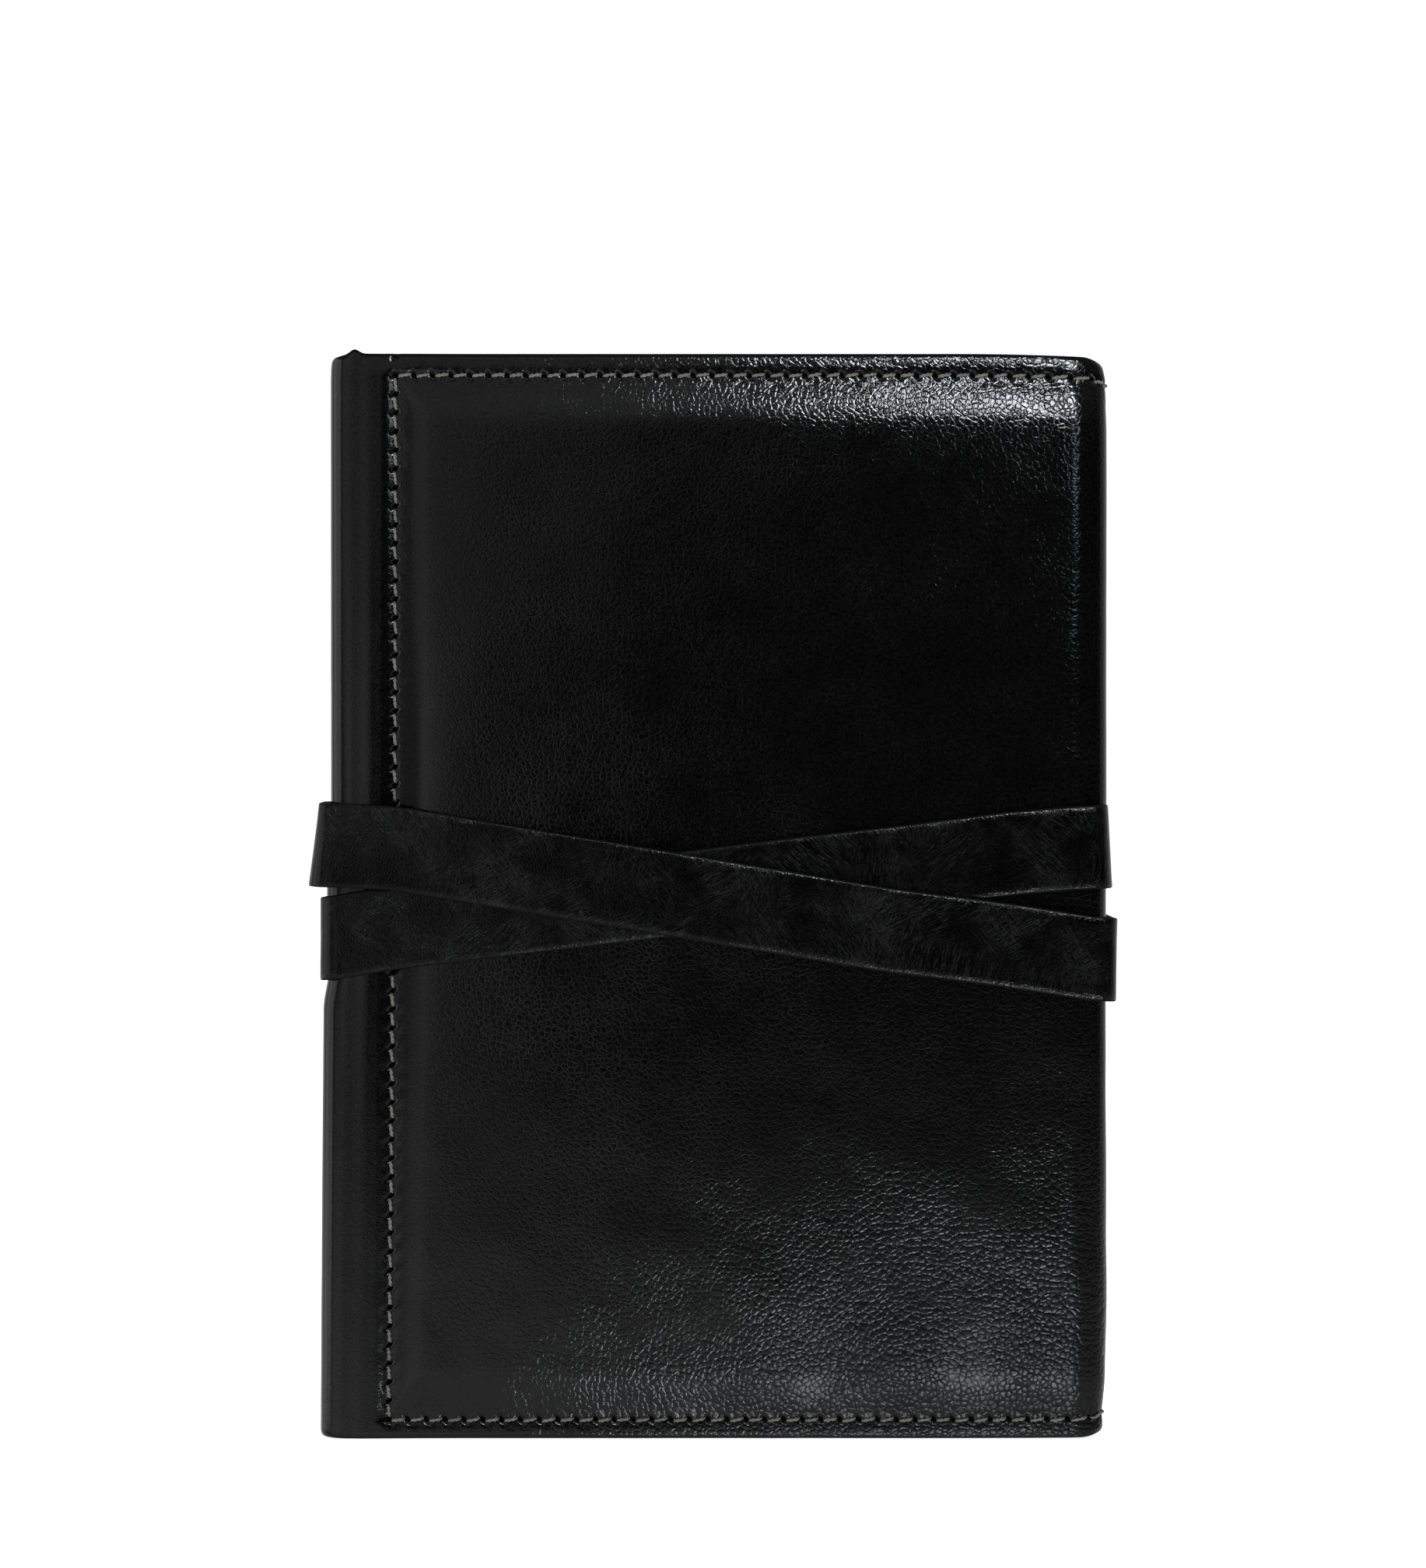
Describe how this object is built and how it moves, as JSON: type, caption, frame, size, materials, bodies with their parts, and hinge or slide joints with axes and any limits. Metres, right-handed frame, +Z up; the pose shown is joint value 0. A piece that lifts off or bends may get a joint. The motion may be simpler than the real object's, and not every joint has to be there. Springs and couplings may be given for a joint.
{
  "type": "leather notebook cover",
  "caption": "Leather cover for an A5 notebook, with raised stitched panels, fore-edge sleeves and a long wrap strap that crosses on the front.",
  "frame": {"origin": "middle of the bottom edge of the closed cover, halfway between its two faces and its two sides", "axes": "+Z up along the book's height, -Y out of the front cover, -X the spine, +X the fore-edge"},
  "size_m": [0.163, 0.032, 0.22],
  "materials": {
    "cover_leather": "glossy full grain",
    "strap_leather": "matte with raw cut edges",
    "board": "grey bookbinding board",
    "lining": "fine woven",
    "seam_thread": "waxed twisted thread",
    "notebook_card": "smooth card",
    "pages": "uncoated"
  },
  "bodies": {
    "back_cover": {"back_panel_leather": "cover_leather", "back_seam_thread": "seam_thread", "back_board": "board", "back_lining": "lining", "insert_back_cover": "notebook_card", "insert_rear_pages": "pages", "strap_root": "strap_leather", "strap_root_thread": "seam_thread"},
    "spine": {"spine_leather": "cover_leather", "spine_lining": "lining", "insert_spine": "notebook_card"},
    "front_cover": {"front_panel_leather": "cover_leather", "front_seam_thread": "seam_thread", "front_board": "board", "front_lining": "lining", "insert_front_cover": "notebook_card"},
    "front_pages": {"insert_front_pages": "pages"},
    "strap_fore_turn_1": {"strap_fore_turn_1": "strap_leather"},
    "strap_front_pass_1": {"strap_front_pass_1": "strap_leather"},
    "strap_spine_turn_1": {"strap_spine_turn_1": "strap_leather"},
    "strap_back_pass": {"strap_back_pass": "strap_leather"},
    "strap_fore_turn_2": {"strap_fore_turn_2": "strap_leather"},
    "strap_front_pass_2": {"strap_front_pass_2": "strap_leather"},
    "strap_spine_turn_2": {"strap_spine_turn_2": "strap_leather"},
    "strap_tail": {"strap_tail": "strap_leather"}
  },
  "joints": [
    {"name": "cover_open", "type": "hinge", "parent": "back_cover", "child": "spine", "pos_m": [-0.074, 0.0085, 0.11], "axis": [0, 0, -1], "range_deg": [0, 90], "stiffness_Nm_per_rad": 0.02, "deforming": ["spine_leather"]},
    {"name": "front_fold", "type": "hinge", "parent": "spine", "child": "front_cover", "pos_m": [-0.074, -0.0085, 0.11], "axis": [0, 0, -1], "range_deg": [0, 90]},
    {"name": "pages_open", "type": "hinge", "parent": "back_cover", "child": "front_pages", "pos_m": [-0.073, 0, 0.11], "axis": [0, 0, -1], "range_deg": [0, 180]},
    {"name": "strap_bend_1", "type": "hinge", "parent": "back_cover", "child": "strap_fore_turn_1", "pos_m": [0.0794, 0.0139, 0.11], "axis": [0, 0, 1], "range_deg": [0, 90], "deforming": ["strap_fore_turn_1"]},
    {"name": "strap_bend_2", "type": "hinge", "parent": "strap_fore_turn_1", "child": "strap_front_pass_1", "pos_m": [0.0794, -0.0139, 0.11], "axis": [0, 0, 1], "range_deg": [0, 90], "deforming": ["strap_front_pass_1"]},
    {"name": "strap_bend_3", "type": "hinge", "parent": "strap_front_pass_1", "child": "strap_spine_turn_1", "pos_m": [-0.0794, -0.0139, 0.11], "axis": [0, 0, 1], "range_deg": [0, 90], "deforming": ["strap_spine_turn_1"]},
    {"name": "strap_bend_4", "type": "hinge", "parent": "strap_spine_turn_1", "child": "strap_back_pass", "pos_m": [-0.0794, 0.0154, 0.11], "axis": [0, 0, 1], "range_deg": [0, 90], "deforming": ["strap_back_pass"]},
    {"name": "strap_bend_5", "type": "hinge", "parent": "strap_back_pass", "child": "strap_fore_turn_2", "pos_m": [0.0809, 0.0154, 0.11], "axis": [0, 0, 1], "range_deg": [0, 90], "deforming": ["strap_fore_turn_2"]},
    {"name": "strap_bend_6", "type": "hinge", "parent": "strap_fore_turn_2", "child": "strap_front_pass_2", "pos_m": [0.0809, -0.0154, 0.11], "axis": [0, 0, 1], "range_deg": [0, 90], "deforming": ["strap_front_pass_2"]},
    {"name": "strap_bend_7", "type": "hinge", "parent": "strap_front_pass_2", "child": "strap_spine_turn_2", "pos_m": [-0.0809, -0.0154, 0.11], "axis": [0, 0, 1], "range_deg": [0, 90], "deforming": ["strap_spine_turn_2"]},
    {"name": "strap_bend_8", "type": "hinge", "parent": "strap_spine_turn_2", "child": "strap_tail", "pos_m": [-0.0809, 0.0139, 0.11], "axis": [0, 0, 1], "range_deg": [0, 90], "deforming": ["strap_tail"]}
  ],
  "couplings": [
    {"joint": "front_fold", "follows": "cover_open", "ratio": 1},
    {"joint": "pages_open", "follows": "cover_open", "ratio": 2},
    {"joint": "strap_bend_1", "follows": "cover_open", "ratio": 1},
    {"joint": "strap_bend_2", "follows": "cover_open", "ratio": 1},
    {"joint": "strap_bend_3", "follows": "cover_open", "ratio": 1},
    {"joint": "strap_bend_4", "follows": "cover_open", "ratio": 1},
    {"joint": "strap_bend_5", "follows": "cover_open", "ratio": 1},
    {"joint": "strap_bend_6", "follows": "cover_open", "ratio": 1},
    {"joint": "strap_bend_7", "follows": "cover_open", "ratio": 1},
    {"joint": "strap_bend_8", "follows": "cover_open", "ratio": 1}
  ]
}
